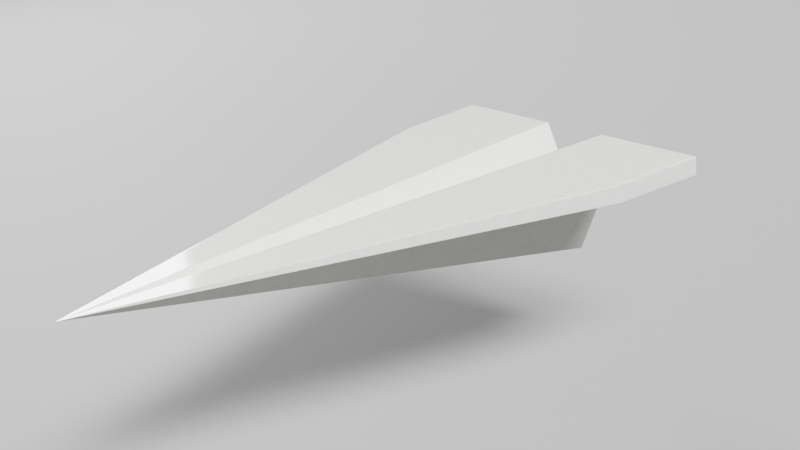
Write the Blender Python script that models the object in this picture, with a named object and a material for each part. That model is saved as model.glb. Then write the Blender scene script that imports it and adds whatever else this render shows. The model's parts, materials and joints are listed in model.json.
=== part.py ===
"""A folded paper dart: two hollow wing sleeves on a V-shaped keel, hinged on their creases.

Every fold line of the dart runs to the nose tip, so each panel is described by its corners at the
tail, and the nose tip is the corner that all panels share. The nose points to -X, the tail to +X.
Left is the pilot's left, at -Y. The origin is the point between finger and thumb where the keel
is pinched to throw the dart.
"""

import math

import bmesh
import bpy
from mathutils import Vector

# Driving dimensions, in metres, measured from the nose tip.
WING_LENGTH = 0.287  # nose tip to the wings' trailing edge, along the centre line
WING_CREASE_HALF = 0.018  # centre plane to a wing crease, at the trailing edge
WING_TIP_HALF = 0.0753  # centre plane to a wing tip, at the trailing edge
KINK_X = 0.237  # nose tip to the corner between leading edge and side edge
KINK_HALF = 0.072  # centre plane to that corner
SLEEVE_DEPTH = 0.0099  # wing top to wing underside, at the trailing edge
SLEEVE_FLARE = 0.0003  # how far the lower outline stands outside the upper one
KEEL_DEPTH = 0.067  # wing top to the keel crease, at the tail
KEEL_OVERHANG = 0.002  # how far the keel's lower corner stands behind the trailing edge
KEEL_TOP_HALF = 0.028  # centre plane to the top of an outer keel wall, at the trailing edge
INNER_WALL_ANGLE = math.radians(24)  # lean of an inner keel wall from upright
INNER_WALL_DEPTH = 0.033  # wing top to the raw edge of an inner keel wall, at the tail

# The sheet and how much room the folds take.
PAPER = 0.0002  # thickness of the sheet
FOLD_TRIM = 0.00035  # each panel stops this far short of its crease
CREASE_LEG = 0.001  # height of each leg of the keel crease's V
CREASE_TRIM = CREASE_LEG + 0.0003  # the keel walls stop just above those legs
DROOP_ROOM = 0.0019  # room at the trailing edge for the underside to swing in when a wing droops
LAYER_STEP = PAPER + 0.0003  # from the face of one layer to the face of the layer inside it
LEAF_CREASE_TRIM = 0.0015  # the hidden leaves stop this far from the wing crease

# Where each layer starts, behind the nose tip, as soon as there is room for its thickness.
TOP_START = 0.006
UNDERSIDE_START = 0.024
EDGE_START = 0.030
INNER_WALL_START = 0.022
LEAF_START = 0.058

# The first folded corners, hidden between the layers: where their raw edges cross the fold lines.
LEAF_AT_LEADING_EDGE = 0.114
UPPER_LEAF_AT_WING_CREASE = 0.126
UPPER_LEAF_AT_INNER_EDGE = 0.140
LOWER_LEAF_AT_WING_CREASE = 0.107
LOWER_LEAF_AT_KEEL_CREASE = 0.105
LEAF_KEEL_TRIM = 0.0025  # the leaves in the keel stop this far above the keel crease

GRIP_X = 0.178  # nose tip to the grip point
GRIP_DEPTH = 0.024  # wing top to the grip point

COLOURS = {
    "top": (0.80, 0.80, 0.77),
    "underside": (0.76, 0.76, 0.74),
    "edge": (0.78, 0.79, 0.77),
    "keel": (0.77, 0.77, 0.74),
    "inner": (0.81, 0.81, 0.78),
    "leaf": (0.79, 0.79, 0.76),
}
ROUGHNESS = 0.62
HINGE_MARK = 0.02  # drawn size of the empties that mark the hinge lines

NOSE = Vector((-GRIP_X, 0.0, GRIP_DEPTH))


def clear_scene():
    for obj in list(bpy.data.objects):
        bpy.data.objects.remove(obj, do_unlink=True)


def paper(kind):
    """The matt paper of one kind of panel."""
    name = f"paper_{kind}"
    material = bpy.data.materials.get(name)
    if material is None:
        material = bpy.data.materials.new(name)
        material.use_nodes = True
        shader = material.node_tree.nodes["Principled BSDF"]
        shader.inputs["Base Color"].default_value = (*COLOURS[kind], 1.0)
        shader.inputs["Roughness"].default_value = ROUGHNESS
    return material


def corners(side):
    """The named corners of one half, from the nose tip; side is -1 for left and 1 for right."""
    inner_half = WING_CREASE_HALF - INNER_WALL_DEPTH * math.tan(INNER_WALL_ANGLE)
    kink_depth = SLEEVE_DEPTH * KINK_X / WING_LENGTH
    places = {
        "nose": (0.0, 0.0, 0.0),
        "crease": (WING_LENGTH, WING_CREASE_HALF, 0.0),
        "tip": (WING_LENGTH, WING_TIP_HALF, 0.0),
        "kink": (KINK_X, KINK_HALF, 0.0),
        "low_tip": (WING_LENGTH, WING_TIP_HALF + SLEEVE_FLARE, -SLEEVE_DEPTH),
        "low_kink": (KINK_X, KINK_HALF + SLEEVE_FLARE, -kink_depth),
        "keel_top": (WING_LENGTH, KEEL_TOP_HALF, -SLEEVE_DEPTH),
        "under": (WING_LENGTH, KEEL_TOP_HALF + DROOP_ROOM, -SLEEVE_DEPTH),
        "keel": (WING_LENGTH + KEEL_OVERHANG, 0.0, -KEEL_DEPTH),
        "inner": (WING_LENGTH, inner_half, -INNER_WALL_DEPTH),
    }
    return {name: Vector((x, side * y, z)) for name, (x, y, z) in places.items()}


def along(corner, distance):
    """The point this far from the nose tip on the fold line that ends at a corner."""
    return corner.normalized() * distance


def panel_face(points, outward, trims, start):
    """One flat face through the points, trimmed along its edges and at the nose.

    trims[i] is the width cut from the edge between points i and i + 1, and outward is a
    direction on the visible side of the sheet.
    """
    bm = bmesh.new()
    face = bm.faces.new([bm.verts.new(point) for point in points])
    face.normal_update()
    if face.normal.dot(outward) < 0:
        face.normal_flip()
    normal = face.normal.copy()
    middle = face.calc_center_median()
    cuts = [(Vector((start, 0.0, 0.0)), Vector((1.0, 0.0, 0.0)))] if start else []
    for first, second, width in zip(points, points[1:] + points[:1], trims):
        if not width:
            continue
        inward = normal.cross(second - first).normalized()
        if inward.dot(middle - first) < 0:
            inward = -inward
        cuts.append((first + inward * width, inward))
    for place, keep in cuts:
        geometry = list(bm.verts) + list(bm.edges) + list(bm.faces)
        bmesh.ops.bisect_plane(bm, geom=geometry, plane_co=place, plane_no=keep, clear_inner=True)
    return bm


def finish(bm, name, kind, hinge):
    """Turn a bmesh of sheet faces into a named solid of the sheet's thickness on its hinge."""
    mesh = bpy.data.meshes.new(name)
    bm.to_mesh(mesh)
    bm.free()
    mesh.materials.append(paper(kind))
    obj = bpy.data.objects.new(name, mesh)
    bpy.context.scene.collection.objects.link(obj)
    obj.parent = hinge
    obj.matrix_parent_inverse = hinge.matrix_world.inverted()
    obj.location = NOSE
    sheet = obj.modifiers.new("sheet thickness", "SOLIDIFY")
    sheet.thickness = PAPER
    sheet.offset = -1.0
    sheet.use_even_offset = True
    return obj


def panel(name, kind, hinge, points, outward, trims, start=0.0, layer=0):
    """A flat panel; layer 1 lies one layer step inside the visible one."""
    bm = panel_face(points, outward, trims, start)
    face = next(iter(bm.faces))
    bmesh.ops.translate(bm, verts=bm.verts, vec=-face.normal * LAYER_STEP * layer)
    return finish(bm, name, kind, hinge)


def hinge_empty(name, axis, parent=None):
    """An empty at the nose tip with its own X along a hinge line."""
    empty = bpy.data.objects.new(name, None)
    bpy.context.scene.collection.objects.link(empty)
    empty.empty_display_size = HINGE_MARK
    empty.rotation_mode = "QUATERNION"
    empty.location = NOSE
    empty.rotation_quaternion = Vector((1.0, 0.0, 0.0)).rotation_difference(axis)
    if parent is not None:
        empty.parent = parent
        empty.matrix_parent_inverse = parent.matrix_world.inverted()
    bpy.context.view_layer.update()
    return empty


def keel_crease(hinge):
    """The folded bottom edge of the keel: a thin V along the line that both halves turn on."""
    left, right = corners(-1), corners(1)
    front = along(left["keel"], TOP_START)
    rear = left["keel"]
    bm = bmesh.new()
    root = [bm.verts.new(front), bm.verts.new(rear)]
    for half in (left, right):
        wall = half["keel_top"] - rear
        up = (wall - wall.project(rear)).normalized() * CREASE_LEG
        bm.faces.new(root + [bm.verts.new(rear + up), bm.verts.new(front + up)])
    bmesh.ops.recalc_face_normals(bm, faces=bm.faces)
    if any(face.normal.z > 0 for face in bm.faces):
        bmesh.ops.reverse_faces(bm, faces=bm.faces)
    return finish(bm, "keel_crease", "keel", hinge)


def keel_half(name, side, hinge):
    """The outer and inner walls of one side of the keel, and the folded corner between them."""
    at = corners(side)
    out = Vector((0.0, side, 0.0))
    nose, crease, inner = at["nose"], at["crease"], at["inner"]
    top, keel = at["keel_top"], at["keel"]
    panel(
        f"{name}_keel_outer",
        "keel",
        hinge,
        [nose, top, keel],
        out,
        [FOLD_TRIM, 0.0, CREASE_TRIM],
    )
    panel(
        f"{name}_keel_inner",
        "inner",
        hinge,
        [nose, crease, inner],
        -out,
        [FOLD_TRIM, 0.0, 0.0],
        INNER_WALL_START,
    )
    panel(
        f"{name}_corner_leaf_keel_outer",
        "leaf",
        hinge,
        [nose, along(top, LOWER_LEAF_AT_WING_CREASE), along(keel, LOWER_LEAF_AT_KEEL_CREASE)],
        out,
        [FOLD_TRIM * 2, 0.0, LEAF_KEEL_TRIM],
        LEAF_START,
        layer=1,
    )
    panel(
        f"{name}_corner_leaf_keel_inner",
        "leaf",
        hinge,
        [nose, along(crease, UPPER_LEAF_AT_WING_CREASE), along(inner, UPPER_LEAF_AT_INNER_EDGE)],
        -out,
        [FOLD_TRIM * 2, 0.0, FOLD_TRIM],
        LEAF_START,
        layer=1,
    )


def wing(name, side, hinge):
    """One wing: top, underside and edge bands of the sleeve, and the folded corner inside it."""
    at = corners(side)
    up, down = Vector((0.0, 0.0, 1.0)), Vector((0.0, 0.0, -1.0))
    out = Vector((0.0, side, 0.0))
    nose, crease, tip, kink = at["nose"], at["crease"], at["tip"], at["kink"]
    under, low_tip, low_kink = at["under"], at["low_tip"], at["low_kink"]
    panel(
        f"{name}_wing_top",
        "top",
        hinge,
        [nose, crease, tip, kink],
        up,
        [FOLD_TRIM, 0.0, FOLD_TRIM, FOLD_TRIM],
        TOP_START,
    )
    panel(
        f"{name}_wing_underside",
        "underside",
        hinge,
        [nose, under, low_tip, low_kink],
        down,
        [FOLD_TRIM, 0.0, FOLD_TRIM, FOLD_TRIM],
        UNDERSIDE_START,
    )
    panel(
        f"{name}_leading_edge",
        "edge",
        hinge,
        [nose, kink, low_kink],
        out,
        [FOLD_TRIM, FOLD_TRIM, FOLD_TRIM],
        EDGE_START,
    )
    panel(
        f"{name}_side_edge",
        "edge",
        hinge,
        [kink, tip, low_tip, low_kink],
        out,
        [FOLD_TRIM, 0.0, FOLD_TRIM, FOLD_TRIM],
    )
    panel(
        f"{name}_corner_leaf_wing_top",
        "leaf",
        hinge,
        [nose, along(crease, UPPER_LEAF_AT_WING_CREASE), along(kink, LEAF_AT_LEADING_EDGE)],
        up,
        [LEAF_CREASE_TRIM, 0.0, FOLD_TRIM * 2],
        LEAF_START,
        layer=1,
    )
    panel(
        f"{name}_corner_leaf_wing_underside",
        "leaf",
        hinge,
        [nose, along(under, LOWER_LEAF_AT_WING_CREASE), along(low_kink, LEAF_AT_LEADING_EDGE)],
        down,
        [LEAF_CREASE_TRIM, 0.0, FOLD_TRIM * 2],
        LEAF_START,
        layer=1,
    )


def main():
    clear_scene()
    spine = corners(1)["keel"]
    crease_line = hinge_empty("keel_crease_line", spine)
    keel_crease(crease_line)
    for name, side in (("left", -1), ("right", 1)):
        keel_hinge = hinge_empty(f"{name}_keel_hinge", spine)
        keel_half(name, side, keel_hinge)
        wing_axis = corners(side)["crease"]
        wing_hinge = hinge_empty(f"{name}_wing_hinge", wing_axis, keel_hinge)
        wing(name, side, wing_hinge)


main()
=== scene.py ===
# %% [markdown]
# # A folded paper dart
#
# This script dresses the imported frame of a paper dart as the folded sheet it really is. The frame
# holds flat panels that stop just short of each fold. Here the sheet is drawn as an outline across
# the tail, drawn in to the nose tip, and then parted at the folds, so that each panel is a piece
# of its own and the folds between them stay closed and rounded.

# %% Load the frame
import json
import math

import bpy
from mathutils import Matrix, Vector

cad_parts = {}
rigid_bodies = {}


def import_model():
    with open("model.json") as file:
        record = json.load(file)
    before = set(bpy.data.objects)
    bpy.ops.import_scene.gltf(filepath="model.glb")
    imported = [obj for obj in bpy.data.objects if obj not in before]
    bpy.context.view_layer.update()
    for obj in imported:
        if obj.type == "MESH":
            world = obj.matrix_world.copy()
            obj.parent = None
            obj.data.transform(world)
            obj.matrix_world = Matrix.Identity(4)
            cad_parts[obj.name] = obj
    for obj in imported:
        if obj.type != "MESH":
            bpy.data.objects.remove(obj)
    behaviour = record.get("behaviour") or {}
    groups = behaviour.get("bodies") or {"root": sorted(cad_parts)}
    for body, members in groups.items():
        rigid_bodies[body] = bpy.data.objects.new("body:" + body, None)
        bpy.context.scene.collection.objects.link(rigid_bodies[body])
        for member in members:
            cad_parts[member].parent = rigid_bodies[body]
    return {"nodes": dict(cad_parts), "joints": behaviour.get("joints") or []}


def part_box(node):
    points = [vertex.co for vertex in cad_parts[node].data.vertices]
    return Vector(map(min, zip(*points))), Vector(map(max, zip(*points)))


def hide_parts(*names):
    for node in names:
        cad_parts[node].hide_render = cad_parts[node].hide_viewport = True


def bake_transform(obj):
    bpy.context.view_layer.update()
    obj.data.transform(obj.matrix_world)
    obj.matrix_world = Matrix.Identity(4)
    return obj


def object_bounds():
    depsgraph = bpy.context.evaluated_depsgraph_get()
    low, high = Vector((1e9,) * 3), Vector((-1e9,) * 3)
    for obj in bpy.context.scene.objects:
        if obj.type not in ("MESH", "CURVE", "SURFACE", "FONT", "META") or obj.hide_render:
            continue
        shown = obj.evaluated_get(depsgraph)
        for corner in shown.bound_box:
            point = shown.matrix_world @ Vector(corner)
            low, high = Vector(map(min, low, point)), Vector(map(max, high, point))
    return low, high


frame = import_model()
cad_low, cad_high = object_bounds()

# %% [markdown]
# Every fold line of a dart runs to the nose tip, so a fold is known by one more point: where it
# meets the tail. The joints give the nose tip, the wing creases and the keel crease. The boxes of
# the panels give the tail, the wing tips and the depth of the hollow wings.

# %% The dart's main points, on its right half
PAPER = 0.0002  # thickness of the sheet
SIDES = {"left": -1, "right": 1}  # the sign of Y on each side
BAND_FLARE = 0.0003  # the wing's lower outline stands this far outside the upper one
TIP_BAND_DEPTH = 0.0094  # height of the side band at the wing tip
KINK_BAND_DEPTH = 0.0087  # height of the band at the corner of the outline
KEEL_TOP_HALF = 0.028  # centre plane to the top of an outer keel wall, at the tail
INNER_WALL_LEAN = math.radians(24)  # lean of the inner keel wall from upright

joints = {joint["name"]: joint for joint in frame["joints"]}
nose = Vector(joints["right_wing_fold"]["pos_m"])
wing_axis = Vector(joints["right_wing_fold"]["axis"])
keel_axis = -Vector(joints["right_keel_fold"]["axis"])
tail_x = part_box("right_wing_top")[1].x
length = tail_x - nose.x
kink_x = (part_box("right_leading_edge")[1].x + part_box("right_side_edge")[0].x) / 2
kink_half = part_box("right_side_edge")[0].y + PAPER
tip_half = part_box("right_side_edge")[1].y
underside_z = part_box("right_wing_underside")[0].z
inner_wall_depth = nose.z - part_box("right_keel_inner")[0].z
tail_crease = nose + wing_axis * (length / wing_axis.x)
tail_keel = nose + keel_axis * ((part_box("keel_crease")[1].x - nose.x) / keel_axis.x)
inner_half = tail_crease.y - inner_wall_depth * math.tan(INNER_WALL_LEAN)
print("length", round(length, 4), "half span", round(tip_half, 4), "kink at", round(kink_x, 4))

# %% [markdown]
# The outline across the tail of one half runs from the raw edge deep in the groove, up the inner
# keel wall, out over the wing top, down the side band, back along the underside, and down the
# outer keel wall. A second outline stands where the wing's edge has its corner. It is the first
# one drawn towards the nose, with its outer edge pushed out to the corner.

# %% The corners of the outline at the tail and at the wing's corner
FOLD_NAMES = ["groove_edge", "wing_crease", "upper_edge", "lower_edge", "keel_top", "keel_foot"]
KEEL_LEG = 0.0012  # the outer walls stop this far up from the keel crease, at the tail


def towards_nose(point, share):
    """The point moved along its fold line: share 1 is the tail, and share 0 is the nose tip."""
    return nose + (point - nose) * share


def wall_foot():
    """Where the outer keel wall meets the rounded keel crease, at the tail."""
    top = Vector((tail_x, KEEL_TOP_HALF, underside_z))
    up = (top - tail_keel) - (top - tail_keel).project(keel_axis)
    return tail_keel + up.normalized() * KEEL_LEG


tail_corners = [
    Vector((tail_x, inner_half, nose.z - inner_wall_depth)),
    tail_crease,
    Vector((tail_x, tip_half - BAND_FLARE, nose.z)),
    Vector((tail_x, tip_half, nose.z - TIP_BAND_DEPTH)),
    Vector((tail_x, KEEL_TOP_HALF, underside_z)),
    wall_foot(),
]
kink_share = (kink_x - nose.x) / length
kink_corners = [towards_nose(corner, kink_share) for corner in tail_corners]
kink_corners[2] = Vector((kink_x, kink_half, nose.z))
kink_corners[3] = Vector((kink_x, kink_half + BAND_FLARE, nose.z - KINK_BAND_DEPTH))
for name, corner in zip(FOLD_NAMES, tail_corners):
    print(f"{name:12}", [round(value * 1000, 1) for value in corner], "mm")

# %% [markdown]
# A fold in paper is never a knife edge: the outer fibres stretch round a tiny radius. Each corner
# of the outline is therefore drawn as a short arc of a few steps. The straight runs between the
# arcs get extra points, so that the panels can be a little wavy later. With every point goes its
# place along the outline, as a number: a whole number is the middle of a fold, and what lies
# between two whole numbers is a panel.

# %% Points of an outline
FOLD_RADIUS = 0.0004  # at the tail; the folds get sharper towards the nose
FOLD_STEPS = 6
RUN_POINTS = [7, 14, 3, 12, 14]  # points along each panel, between its folds
FOLD_SHARE = 0.02  # how much of the outline's numbering each side of a fold takes


def fold_arc(corner, before, after, radius):
    """The points of the rounded fold at a corner between two straight runs."""
    back, onward = (before - corner).normalized(), (after - corner).normalized()
    half_angle = back.angle(onward) / 2
    centre = corner + (back + onward).normalized() * (radius / math.sin(half_angle))
    start = corner + back * (radius / math.tan(half_angle))
    turn = (math.pi - 2 * half_angle) / FOLD_STEPS
    axis = (start - centre).cross(corner - centre)
    return [
        centre + Matrix.Rotation(turn * step, 3, axis) @ (start - centre)
        for step in range(FOLD_STEPS + 1)
    ]


def outline_points(corners, radius):
    """The points of one outline, each with its number along the outline."""
    points = [(corners[0], 0.0)]
    for index in range(1, len(corners)):
        last = index == len(corners) - 1
        arc = [corners[index]]
        if not last:
            arc = fold_arc(corners[index], corners[index - 1], corners[index + 1], radius)
        start, first = points[-1]
        end = index if last else index - FOLD_SHARE
        count = RUN_POINTS[index - 1] + 1
        for step in range(1, count):
            share = step / count
            points.append((start.lerp(arc[0], share), first + (end - first) * share))
        for step, point in enumerate(arc):
            number = end if last else end + 2 * FOLD_SHARE * step / FOLD_STEPS
            points.append((point, number))
    return points


tail_outline = outline_points(tail_corners, FOLD_RADIUS)
kink_outline = outline_points(kink_corners, FOLD_RADIUS * kink_share)
print("outline of", len(tail_outline), "points")

# %% [markdown]
# An outline could be a curve, but a chain of mesh edges keeps each point exactly where it was
# worked out. It is drawn as one would with a pencil: a plane is merged to a single vertex, and the
# vertex is extruded from each point to the next. An operator acts on whatever is selected, so
# everything is deselected before a new piece is added.

# %% Draw a chain of points
def deselect_all():
    if bpy.context.object and bpy.context.object.mode != "OBJECT":
        bpy.ops.object.mode_set(mode="OBJECT")
    bpy.ops.object.select_all(action="DESELECT")


def draw(name, points):
    """A chain of edges through the points, drawn by extruding a single vertex."""
    deselect_all()
    bpy.ops.mesh.primitive_plane_add(size=0.01, location=points[0])
    piece = bpy.context.object
    piece.name = piece.data.name = name
    bpy.ops.object.transform_apply(location=True, rotation=False, scale=False)
    bpy.ops.object.mode_set(mode="EDIT")
    bpy.ops.mesh.select_mode(type="VERT")
    bpy.ops.mesh.select_all(action="SELECT")
    bpy.ops.mesh.merge(type="CENTER")
    for here, there in zip(points, points[1:]):
        bpy.ops.mesh.extrude_vertices_move(TRANSFORM_OT_translate={"value": there - here})
    bpy.ops.object.mode_set(mode="OBJECT")
    return piece


# %% [markdown]
# Three more helpers. The first writes the numbers along the outline onto the mesh as an attribute,
# which later cuts, bridges and modifiers carry along. The second selects by a test in code, which
# stands for picking vertices, edges or faces by hand, and has to set the matching select mode. The
# third turns an inside-out sheet over, because an open sheet has no inside for Blender to find.

# %% Number the points, select by a test, and turn a sheet over
def number_points(piece, numbered):
    """Write each point's number along the outline onto the vertices that lie there."""
    attribute = piece.data.attributes.new("outline", "FLOAT", "POINT")
    for vertex in piece.data.vertices:
        nearest = min(numbered, key=lambda pair: (pair[0] - vertex.co).length_squared)
        attribute.data[vertex.index].value = nearest[1]


def select(piece, wanted, kind="vertices"):
    """Select only the parts of a mesh for which wanted(part) is true, ready for edit mode."""
    for group in (piece.data.polygons, piece.data.edges, piece.data.vertices):
        group.foreach_set("select", [False] * len(group))
    for part in getattr(piece.data, kind):
        part.select = wanted(part)
    kinds = ("vertices", "edges", "polygons")
    bpy.context.tool_settings.mesh_select_mode = [kind == one for one in kinds]
    bpy.context.view_layer.objects.active = piece
    piece.select_set(True)
    bpy.ops.object.mode_set(mode="EDIT")


def turn_over():
    """Make every face of the active piece point the other way."""
    bpy.ops.object.mode_set(mode="EDIT")
    bpy.ops.mesh.select_all(action="SELECT")
    bpy.ops.mesh.flip_normals()
    bpy.ops.object.mode_set(mode="OBJECT")


# %% [markdown]
# Each half needs its own outline, mirrored before it is drawn, because a mesh mirrored afterwards
# comes out inside out. And the long edges, which run from nose to tail, have to be found to be cut.

# %% Mirror an outline and find the long edges
NEAR = 0.003  # points less than this away from an outline's place belong to that outline


def mirrored(numbered, side):
    """The outline of the left half for side -1, and unchanged for side 1."""
    return [(Vector((point.x, side * point.y, point.z)), number) for point, number in numbered]


def long_edge(piece, low, high):
    """A test for edges that run from nose to tail between two places."""
    points = piece.data.vertices

    def wanted(edge):
        xs = sorted(points[index].co.x for index in edge.vertices)
        return xs[1] - xs[0] > (high - low) / 2 and low - PAPER < xs[0] and xs[1] < high + NEAR

    return wanted


# %% [markdown]
# Now one half of the dart. Its two outlines are bridged, and the front one is extruded once more
# and scaled down onto the nose tip: a loft, whose fold lines all run to the nose as in the real
# sheet. A single loft from tail to nose wouldn't do, because it has no corner in the wing's edge.
# Cutting the long edges into short ones gives the panels the points that they need to be wavy.

# %% Bridge the outlines into the skin of each half
NOSE_SHARE = 0.001  # the last outline, at the blunt tip, as a share of the corner's
TAIL_CUTS = 9
FRONT_CUTS = 39


def folded_half(name, side):
    """The visible skin of one half of the dart, as one sheet without thickness."""
    rear = draw(name, [point for point, number in mirrored(tail_outline, side)])
    number_points(rear, mirrored(tail_outline, side))
    front = draw(f"{name}_front", [point for point, number in mirrored(kink_outline, side)])
    number_points(front, mirrored(kink_outline, side))
    deselect_all()
    front.select_set(True)
    rear.select_set(True)
    bpy.context.view_layer.objects.active = rear
    bpy.ops.object.join()
    bpy.ops.object.mode_set(mode="EDIT")
    bpy.ops.mesh.select_all(action="SELECT")
    bpy.ops.mesh.bridge_edge_loops()
    bpy.ops.object.mode_set(mode="OBJECT")
    select(rear, lambda vertex: abs(vertex.co.x - kink_x) < NEAR)
    bpy.ops.mesh.extrude_region_move()
    bpy.ops.transform.resize(value=(NOSE_SHARE,) * 3, center_override=nose)
    bpy.ops.object.mode_set(mode="OBJECT")
    select(rear, long_edge(rear, kink_x, tail_x), "edges")
    bpy.ops.mesh.subdivide(number_cuts=TAIL_CUTS)
    bpy.ops.object.mode_set(mode="OBJECT")
    select(rear, long_edge(rear, nose.x, kink_x), "edges")
    bpy.ops.mesh.subdivide(number_cuts=FRONT_CUTS)
    bpy.ops.mesh.select_all(action="SELECT")
    bpy.ops.mesh.normals_make_consistent(inside=False)
    bpy.ops.object.mode_set(mode="OBJECT")
    top = [face for face in rear.data.polygons if face.center.z > nose.z - PAPER]
    if sum(face.normal.z * face.area for face in top) < 0:
        turn_over()
    print(name, len(rear.data.vertices), "points,", len(rear.data.polygons), "faces")
    return rear


halves = {side: folded_half(f"{side}_half", sign) for side, sign in SIDES.items()}

# %% [markdown]
# Even a well creased sheet is never quite flat. Between its folds it swells and sinks by a tenth
# of a millimetre or so, most where a panel is widest, and that is what makes light slide over
# paper. A vertex group says how loose the paper is at each point: not at all on a fold or at the
# nose, and fully in the middle of a panel near the tail. A Displace modifier with a soft cloud
# texture then moves the points by that share. It is done before the skin is parted, so that
# neighbouring panels still meet.

# %% Say where the paper is loose
FOLD_HOLD = 0.4  # beside a fold, this share of a panel is held flatter


def smooth(share):
    """A soft step: 0 up to share 0, 1 from share 1, and no corner between."""
    share = min(max(share, 0.0), 1.0)
    return share * share * (3 - 2 * share)


def outline_numbers(piece):
    return [entry.value for entry in piece.data.attributes["outline"].data]


def group_by_place(piece, name, weight):
    """A vertex group: weight(number along the outline, share of the way from nose to tail)."""
    group = piece.vertex_groups.new(name=name)
    for vertex, number in zip(piece.data.vertices, outline_numbers(piece)):
        share = (vertex.co.x - nose.x) / length
        group.add([vertex.index], weight(number, share), "REPLACE")


def loose(number, share):
    return smooth(abs(number - round(number)) / FOLD_HOLD) * smooth(share)


for half in halves.values():
    group_by_place(half, "loose", loose)
print("loose paper marked on", len(halves), "halves")

# %% Make the panels a little wavy
WAVE_HEIGHT = 0.0004
WAVE_LENGTH = 0.045


def apply_modifiers(piece):
    deselect_all()
    piece.select_set(True)
    bpy.context.view_layer.objects.active = piece
    for name in [modifier.name for modifier in piece.modifiers]:
        bpy.ops.object.modifier_apply(modifier=name)


clouds = bpy.data.textures.new("paper_waves", "CLOUDS")
clouds.noise_scale = WAVE_LENGTH
for half in halves.values():
    flat = [vertex.co.copy() for vertex in half.data.vertices]
    waves = half.modifiers.new("waves", "DISPLACE")
    waves.texture = clouds
    waves.texture_coords = "LOCAL"
    waves.vertex_group = "loose"
    waves.strength = WAVE_HEIGHT
    apply_modifiers(half)
    moved = max((vertex.co - old).length for vertex, old in zip(half.data.vertices, flat))
    print(half.name, "waves of up to", round(moved * 1000, 3), "mm")

# %% [markdown]
# Now the skin is parted. Each panel takes the faces between the middle of one fold and the middle
# of the next, which their outline numbers tell. The band round the wing's edge is two panels: one
# runs up the leading edge, and one along the side, with the wing's corner between them.

# %% Part the skin at the folds
SHEETS = {
    # The last entry names the panel's paper. Apart from the wing's, its tone is painted light for
    # the groove and painted shade for the bands, underside and keel.
    "groove_wall": ("keel_inner", 0, "groove_paper"),
    "upper_wing": ("wing_top", 1, "wing_paper"),
    "front_band": ("leading_edge", 2, "edge_paper"),
    "side_band": ("side_edge", 2, "edge_paper"),
    "lower_wing": ("wing_underside", 3, "underside_paper"),
    "outer_wall": ("keel_outer", 4, "keel_paper"),
}
BANDS = {"front_band": (nose.x, kink_x), "side_band": (kink_x, tail_x)}


def parted(half, name, first, low, high):
    """The panel after fold number first, between two places on X, as a piece of its own."""
    numbers = outline_numbers(half)

    def wanted(face):
        middle = sum(numbers[index] for index in face.vertices) / len(face.vertices)
        return first < middle < first + 1 and low < face.center.x < high

    before = set(bpy.data.objects)
    deselect_all()
    select(half, wanted, "polygons")
    bpy.ops.mesh.separate(type="SELECTED")
    bpy.ops.object.mode_set(mode="OBJECT")
    piece = (set(bpy.data.objects) - before).pop()
    piece.name = piece.data.name = name
    return piece


panels = {}
for side, half in halves.items():
    for name, (node, first, slot) in SHEETS.items():
        reach = BANDS.get(name, (nose.x, tail_x))
        panels[side, name] = parted(half, f"{side}_{name}", first, *reach)
    bpy.data.objects.remove(half)
print(len(panels), "panels:", ", ".join(piece.name for piece in panels.values()))

# %% [markdown]
# The keel crease is the one fold that both halves share. Its two legs are drawn here as strips of
# a millimetre or so, from the bottom of the fold up to the foot of each outer wall, and drawn in
# to the nose like everything else. Two strips rather than one, because each leg has to turn with
# its own wall.

# %% Draw the two legs of the keel crease
KEEL_RADIUS = 0.0003  # of the fold at the tail, sharper than the wing's because it is pressed
LEG_CUTS = 24


def crease_leg(name, side):
    """One leg of the keel crease, from the bottom of the fold to the foot of the wall."""
    foot = wall_foot()
    other = Vector((foot.x, -foot.y, foot.z))
    arc = fold_arc(tail_keel, other, foot, KEEL_RADIUS)[FOLD_STEPS // 2:]
    half_way = [arc[-1].lerp(foot, 0.5), foot]
    points = [Vector((point.x, side * point.y, point.z)) for point in arc + half_way]
    leg = draw(name, points)
    last = len(FOLD_NAMES)
    numbers = [last - (step + 1) / len(points) for step in range(len(points))]
    number_points(leg, list(zip(points, numbers)))
    deselect_all()
    select(leg, lambda vertex: True)
    bpy.ops.mesh.extrude_region_move()
    bpy.ops.transform.resize(value=(NOSE_SHARE * kink_share,) * 3, center_override=nose)
    bpy.ops.object.mode_set(mode="OBJECT")
    select(leg, long_edge(leg, nose.x, tail_x), "edges")
    bpy.ops.mesh.subdivide(number_cuts=LEG_CUTS)
    bpy.ops.mesh.select_all(action="SELECT")
    bpy.ops.mesh.normals_make_consistent(inside=False)
    bpy.ops.object.mode_set(mode="OBJECT")
    if sum(face.normal.z * face.area for face in leg.data.polygons) > 0:
        turn_over()
    print(name, len(leg.data.polygons), "faces")
    return leg


legs = {side: crease_leg(f"{side}_crease_leg", sign) for side, sign in SIDES.items()}

# %% [markdown]
# Solidify gives every panel the thickness of the sheet, on its inner side, so that the outside
# stays where it was drawn. In the pressed nose the layers would run through each other, because
# the hollows between them are thinner than the paper there, so a vertex group thins the sheet
# towards the tip. The rim of each panel gets its own material: a cut through the paper shows the
# fibres in the raw.

# %% Give the paper its thickness
FULL_THICKNESS_FROM = 0.14  # share of the way from nose to tail
KEEL_FOOT = FOLD_NAMES.index("keel_foot")
ROUND_ANGLE = math.radians(35)  # edges flatter than this are shaded as one round surface


def body(number, share):
    """How much of its thickness the sheet has here: the keel's fold thins all the way."""
    return share if round(number, 3) >= KEEL_FOOT else min(share / FULL_THICKNESS_FROM, 1.0)


def give_thickness(piece):
    group_by_place(piece, "body", body)
    sheet = piece.modifiers.new("sheet", "SOLIDIFY")
    sheet.thickness = PAPER
    sheet.offset = -1
    sheet.vertex_group = "body"
    sheet.material_offset_rim = 1
    apply_modifiers(piece)
    bpy.ops.object.shade_smooth_by_angle(angle=ROUND_ANGLE)


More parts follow.
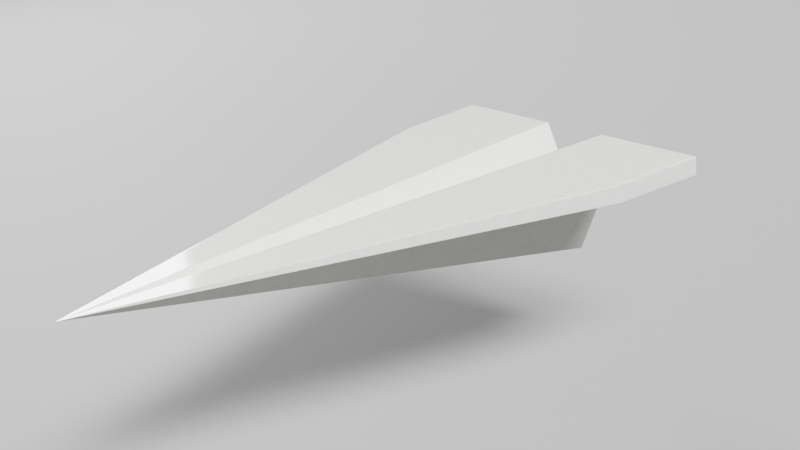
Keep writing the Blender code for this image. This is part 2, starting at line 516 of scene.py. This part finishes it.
for piece in [*panels.values(), *legs.values()]:
    piece.data.materials.append(None)  # a place for the panel's paper
    piece.data.materials.append(None)  # and one for the raw cut edges
    give_thickness(piece)
print("solid panels", sum(len(piece.data.polygons) for piece in panels.values()), "faces")

# %% [markdown]
# Office paper looks plain white, but it isn't one colour. Its pulp settles in soft clouds a few
# millimetres wide, its fibres lie along one direction of the sheet, and every fold has broken
# fibres that take up less light. All of that is faint, so each part changes the tone by a few
# hundredths only. The same patterns drive the roughness and a shallow bump. All of it is noise on
# Object coordinates, so nothing has to be unwrapped. Three small helpers add the nodes that repeat.

# %% Node helpers
def noise(nodes, links, vector, scale, detail):
    node = nodes.new("ShaderNodeTexNoise")
    node.inputs["Scale"].default_value = scale
    node.inputs["Detail"].default_value = detail
    links.new(vector, node.inputs["Vector"])
    return node.outputs["Fac"]


def ranged(nodes, links, value, before, after):
    """The value carried from one range to another, and clamped to it."""
    node = nodes.new("ShaderNodeMapRange")
    for name, number in zip(("From Min", "From Max", "To Min", "To Max"), (*before, *after)):
        node.inputs[name].default_value = number
    links.new(value, node.inputs["Value"])
    return node.outputs["Result"]


def maths(nodes, links, operation, first, second):
    node = nodes.new("ShaderNodeMath")
    node.operation = operation
    for socket, value in zip(node.inputs, (first, second)):
        if isinstance(value, (int, float)):
            socket.default_value = value
        else:
            links.new(value, socket)
    return node.outputs["Value"]


# %% [markdown]
# The paper itself. A thin satin coat stands for the calendered surface, which mirrors a lamp at a
# low angle. The coat is smoother than the fibres below it, and one shader with a coat does both,
# where two shaders would have to be mixed by hand.

# %% The paper finish
CLOUD_SCALE = 210  # about 5 mm from cloud to cloud
FIBRE_SCALE = 1900  # half a millimetre across the fibres
FIBRE_STRETCH = (0.25, 1.0, 1.0)  # fibres are longer along the sheet
SHIVE_SCALE = 520  # shives are coarse bundles of fibre, few and a little darker
NOISE_SPREAD = (0.3, 0.7)  # most of a noise pattern lies between these values
SHIVE_SPREAD = (0.69, 0.74)  # only its peaks are shives
CLOUD_TONE, FIBRE_TONE, SHIVE_TONE = (0.94, 1.01), (0.95, 1.02), (1.0, 0.93)
FIBRE_ROUGHNESS = (0.46, 0.60)
FOLD_WEAR = (0.012, 0.05)  # share of a panel beside a fold: worn, and no longer worn
WORN_TONE, WORN_ROUGHNESS = 0.015, 0.2  # what the broken fibres of a fold add
BUMP_STRENGTH, BUMP_DEPTH = 0.28, 0.00005
COAT, COAT_ROUGHNESS = 0.9, 0.06


def paper(name, tone, folded=True):
    """A paper finish of one tone, with the wear of folds if the piece has outline numbers."""
    material = bpy.data.materials.new(name)
    material.use_nodes = True
    nodes, links = material.node_tree.nodes, material.node_tree.links
    shader = nodes["Principled BSDF"]
    place = nodes.new("ShaderNodeTexCoord").outputs["Object"]
    stretch = nodes.new("ShaderNodeMapping")
    stretch.inputs["Scale"].default_value = FIBRE_STRETCH
    links.new(place, stretch.inputs["Vector"])
    cloud = noise(nodes, links, place, CLOUD_SCALE, 3)
    fibre = noise(nodes, links, stretch.outputs["Vector"], FIBRE_SCALE, 4)
    shives = noise(nodes, links, stretch.outputs["Vector"], SHIVE_SCALE, 1)
    light = ranged(nodes, links, cloud, NOISE_SPREAD, CLOUD_TONE)
    grain = ranged(nodes, links, fibre, NOISE_SPREAD, FIBRE_TONE)
    shive = ranged(nodes, links, shives, SHIVE_SPREAD, SHIVE_TONE)
    shade = maths(nodes, links, "MULTIPLY", light, grain)
    shade = maths(nodes, links, "MULTIPLY", shade, shive)
    rough = ranged(nodes, links, fibre, NOISE_SPREAD, FIBRE_ROUGHNESS)
    if folded:
        along = nodes.new("ShaderNodeAttribute")
        along.attribute_name = "outline"
        beside = maths(nodes, links, "PINGPONG", along.outputs["Fac"], 0.5)
        worn = ranged(nodes, links, beside, FOLD_WEAR, (1.0, 0.0))
        worn = maths(nodes, links, "MULTIPLY", worn, cloud)
        lighter = maths(nodes, links, "MULTIPLY", worn, WORN_TONE)
        shade = maths(nodes, links, "ADD", shade, lighter)
        rougher = maths(nodes, links, "MULTIPLY", worn, WORN_ROUGHNESS)
        rough = maths(nodes, links, "ADD", rough, rougher)
    colour = nodes.new("ShaderNodeMix")
    colour.data_type = "RGBA"
    colour.inputs["A"].default_value = (0.0, 0.0, 0.0, 1.0)
    colour.inputs["B"].default_value = (*tone, 1.0)
    colour.clamp_factor = False
    links.new(shade, colour.inputs["Factor"])
    links.new(colour.outputs["Result"], shader.inputs["Base Color"])
    links.new(rough, shader.inputs["Roughness"])
    bump = nodes.new("ShaderNodeBump")
    bump.inputs["Strength"].default_value = BUMP_STRENGTH
    bump.inputs["Distance"].default_value = BUMP_DEPTH
    links.new(maths(nodes, links, "ADD", cloud, fibre), bump.inputs["Height"])
    for socket in ("Normal", "Coat Normal"):
        links.new(bump.outputs["Normal"], shader.inputs[socket])
    shader.inputs["Coat Weight"].default_value = COAT
    shader.inputs["Coat Roughness"].default_value = COAT_ROUGHNESS
    return material


# %% [markdown]
# All panels are one sheet, yet they don't read as one tone: the groove looks brightest and the
# narrow bands dullest, because of how the light falls on them. So each kind of panel gets its own
# copy of the paper with that light and shade painted into its tone, and each copy can be changed
# alone.
# The raw cut edges are made a little lighter than the panels.

# %% The papers of the panels, with painted light and shade
# Only the tone tells these papers apart: the groove's is lighter, a painted light, and the bands',
# underside's and keel's are darker, a painted shade.
TONES = {
    "wing_paper": (0.80, 0.808, 0.735),
    "underside_paper": (0.77, 0.778, 0.71),
    "edge_paper": (0.72, 0.737, 0.70),
    "keel_paper": (0.77, 0.778, 0.72),
    "groove_paper": (0.92, 0.928, 0.845),
}
finishes = {slot: paper(slot, tone) for slot, tone in TONES.items()}
finishes["leaf_paper"] = paper("leaf_paper", (0.79, 0.798, 0.73), folded=False)
cut_edge = paper("cut_edge", (0.87, 0.878, 0.82), folded=False)
print(len(finishes) + 1, "papers")

# %% [markdown]
# Each panel now stands for the flat panel of the frame and takes its finish. Turning a wing must
# not tear the folds open where it joins the keel. For that, all six panels of a side would have to
# bend together between the keel and the wing, across the plane that holds both of the wing's folds,
# with neighbours at the same share of the turn where they meet. The half width of that strip is
# worked out here, but the panels are neither bent nor hung on the bodies.

# %% Dress the panels
BEND = 0.001  # half the width of the strip that bends, across the plane of the wing's folds


def across_folds(side):
    """Half the width of the bending strip, outwards and square to the plane of a wing's folds."""
    keel_top = tail_corners[FOLD_NAMES.index("keel_top")]
    across = wing_axis.cross(keel_top - nose).normalized()
    across *= math.copysign(BEND, across.y)
    across.y *= SIDES[side]
    return across


for (side, name), piece in panels.items():
    node, first, slot = SHEETS[name]
    piece.data.materials[0] = finishes[slot]
    piece.data.materials[1] = cut_edge
    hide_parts(f"{side}_{node}")
    across = across_folds(side)
    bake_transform(piece)
print(len(panels), "panels hung")

# %% [markdown]
# The legs of the keel crease take the keel's paper and stand for the frame's keel crease. How far
# the feet of the walls reach out from the fold is worked out, but the legs are not bent. The hidden
# leaves of the frame already have the right shape. They stay as they are and only get the paper
# finish.

# %% Dress the legs and the leaves
for side, leg in legs.items():
    # The keel's paper is darker than the wing's, a painted shade.
    leg.data.materials[0] = finishes["keel_paper"]
    leg.data.materials[1] = cut_edge
    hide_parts("keel_crease")
    reach = Vector((0, SIDES[side] * wall_foot().y, 0))
    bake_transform(leg)
leaves = [name for name in frame["nodes"] if "corner_leaf" in name]
for name in leaves:
    for holder in frame["nodes"][name].material_slots:
        holder.material = finishes["leaf_paper"]
print(len(legs), "legs hung,", len(leaves), "leaves dressed")

# %% [markdown]
# The dart hovers a little over a plain pale floor, so that its shadow falls clear of it. A pale
# floor throws light back up, and the outer keel wall, which is in the wing's own shade, would lose
# that shade. So the floor is only seen: it takes no part in soft light or in reflections.

# %% Floor
FLOOR_GAP = 0.05
FLOOR_SIZE = 30.0
FLOOR_GREY = 0.30
FLOOR_ROUGHNESS = 0.7

deselect_all()
bpy.ops.mesh.primitive_plane_add(size=FLOOR_SIZE, location=(0, 0, cad_low.z - FLOOR_GAP))
floor = bpy.context.object
floor.name = floor.data.name = "studio_floor"
bpy.ops.object.transform_apply()
floor_paint = bpy.data.materials.new("floor_paint")
floor_paint.use_nodes = True
paint = floor_paint.node_tree.nodes["Principled BSDF"]
paint.inputs["Base Color"].default_value = (FLOOR_GREY, FLOOR_GREY, FLOOR_GREY, 1.0)
paint.inputs["Roughness"].default_value = FLOOR_ROUGHNESS
floor.data.materials.append(floor_paint)
floor.visible_diffuse = floor.visible_glossy = False
print("floor", round(-floor.data.vertices[0].co.z * 1000), "mm below the grip point")

# %% [markdown]
# The main light comes from high on the near side. It reaches the groove wall and the wing tops,
# and leaves the outer keel wall in the wing's own shade. It has to be wide, so that light creeps
# in under the wing at the tail, but not tall, or the shade would lose its edge. One soft lamp
# can't be both, so three sun lamps stand side by side.

# %% The main light
KEY_TOWARD = (-0.10, -0.66, 0.74)
KEY_TURNS = (-14, 0, 14)  # degrees about the vertical, one lamp each
KEY_WIDTH = math.radians(15)
KEY_STRENGTH = 10.3


def lamp(name, kind, toward, place):
    """A lamp that stands in the direction toward, as seen from the dart, and faces it."""
    deselect_all()
    bpy.ops.object.light_add(type=kind, location=place)
    made = bpy.context.object
    made.name = made.data.name = name
    made.rotation_euler = toward.to_track_quat("Z", "Y").to_euler()
    return made


to_key = Vector(KEY_TOWARD).normalized()
for index, turn in enumerate(KEY_TURNS):
    toward = Matrix.Rotation(math.radians(turn), 3, "Z") @ to_key
    key_lamp = lamp(f"key_lamp_{index}", "SUN", toward, toward)
    key_lamp.data.angle = KEY_WIDTH
    key_lamp.data.energy = KEY_STRENGTH / len(KEY_TURNS)
print(len(KEY_TURNS), "sun lamps")

# %% [markdown]
# Two small lamps belong to the nose. One stands low on the far side, just where the satin paper of
# the first fifth of the wings mirrors it, and its clear edge on the paper is the edge of the lamp.
# The other is very weak and close to the nose on the near side. It lifts the front of the shaded
# keel wall, and fades along it. It is hidden from the camera and from reflections.

# %% Lamps for the nose
FAR_TOWARD = (0.316, 0.868, 0.383)
FAR_DISTANCE, FAR_SIZE, FAR_ENERGY = 1.5, 0.39, 17
LOW_TOWARD = (-0.10, -0.80, -0.25)
LOW_DISTANCE, LOW_SIZE, LOW_ENERGY = 0.12, 0.08, 0.012

glossy_nose = towards_nose(Vector((tail_x, 0, nose.z)), 0.2)
to_far = Vector(FAR_TOWARD).normalized()
far_lamp = lamp("far_lamp", "AREA", to_far, glossy_nose + to_far * FAR_DISTANCE)
far_lamp.data.size = FAR_SIZE
far_lamp.data.energy = FAR_ENERGY
to_low = Vector(LOW_TOWARD).normalized()
low_lamp = lamp("low_lamp", "AREA", to_low, glossy_nose + to_low * LOW_DISTANCE)
low_lamp.data.size = LOW_SIZE
low_lamp.data.energy = LOW_ENERGY
low_lamp.visible_camera = low_lamp.visible_glossy = False
print("low lamp", round(-low_lamp.location.z * 1000), "mm below the grip point")

# %% [markdown]
# A plain white sky fills the shade. It is brighter where it is looked at than where it lights the
# dart, so that the backdrop stays pale without washing the shaded keel out.

# %% Sky
SKY_GLOW = 0.34  # what the sky lights the dart with
SKY_BACKDROP = 0.86  # how bright it looks behind the floor

sky = bpy.data.worlds.new("studio_sky")
sky.use_nodes = True
nodes, links = sky.node_tree.nodes, sky.node_tree.links
seen = nodes.new("ShaderNodeLightPath").outputs["Is Camera Ray"]
strength = ranged(nodes, links, seen, (0.0, 1.0), (SKY_GLOW, SKY_BACKDROP))
links.new(strength, nodes["Background"].inputs["Strength"])
nodes["Background"].inputs["Color"].default_value = (1.0, 1.0, 1.0, 1.0)
bpy.context.scene.world = sky
print("sky", SKY_GLOW, "and backdrop", SKY_BACKDROP)

# %% [markdown]
# The camera stands ahead of the dart, to its left and a little above it. It is leant over by a
# few degrees, which is what makes the dart look as if it banks.

# %% Camera
CAMERA_PLACE = Vector((-0.3392, -0.41177, 0.21691))
CAMERA_FORWARD = Vector((0.58157, 0.72617, -0.36668)).normalized()
CAMERA_LEAN = math.radians(-5.05)
CAMERA_LENS = 55.85

bpy.ops.object.camera_add(location=CAMERA_PLACE)
camera = bpy.context.object
camera.name = "view_camera"
camera.data.lens = CAMERA_LENS
level_right = CAMERA_FORWARD.cross(Vector((0, 0, 1))).normalized()
level_up = level_right.cross(CAMERA_FORWARD)
right = level_right * math.cos(CAMERA_LEAN) + level_up * math.sin(CAMERA_LEAN)
up = right.cross(CAMERA_FORWARD)
camera.rotation_euler = Matrix((right, up, -CAMERA_FORWARD)).transposed().to_euler()
camera.data.clip_start = 0.01
bpy.context.scene.camera = camera
print("camera right", [round(value, 4) for value in right])
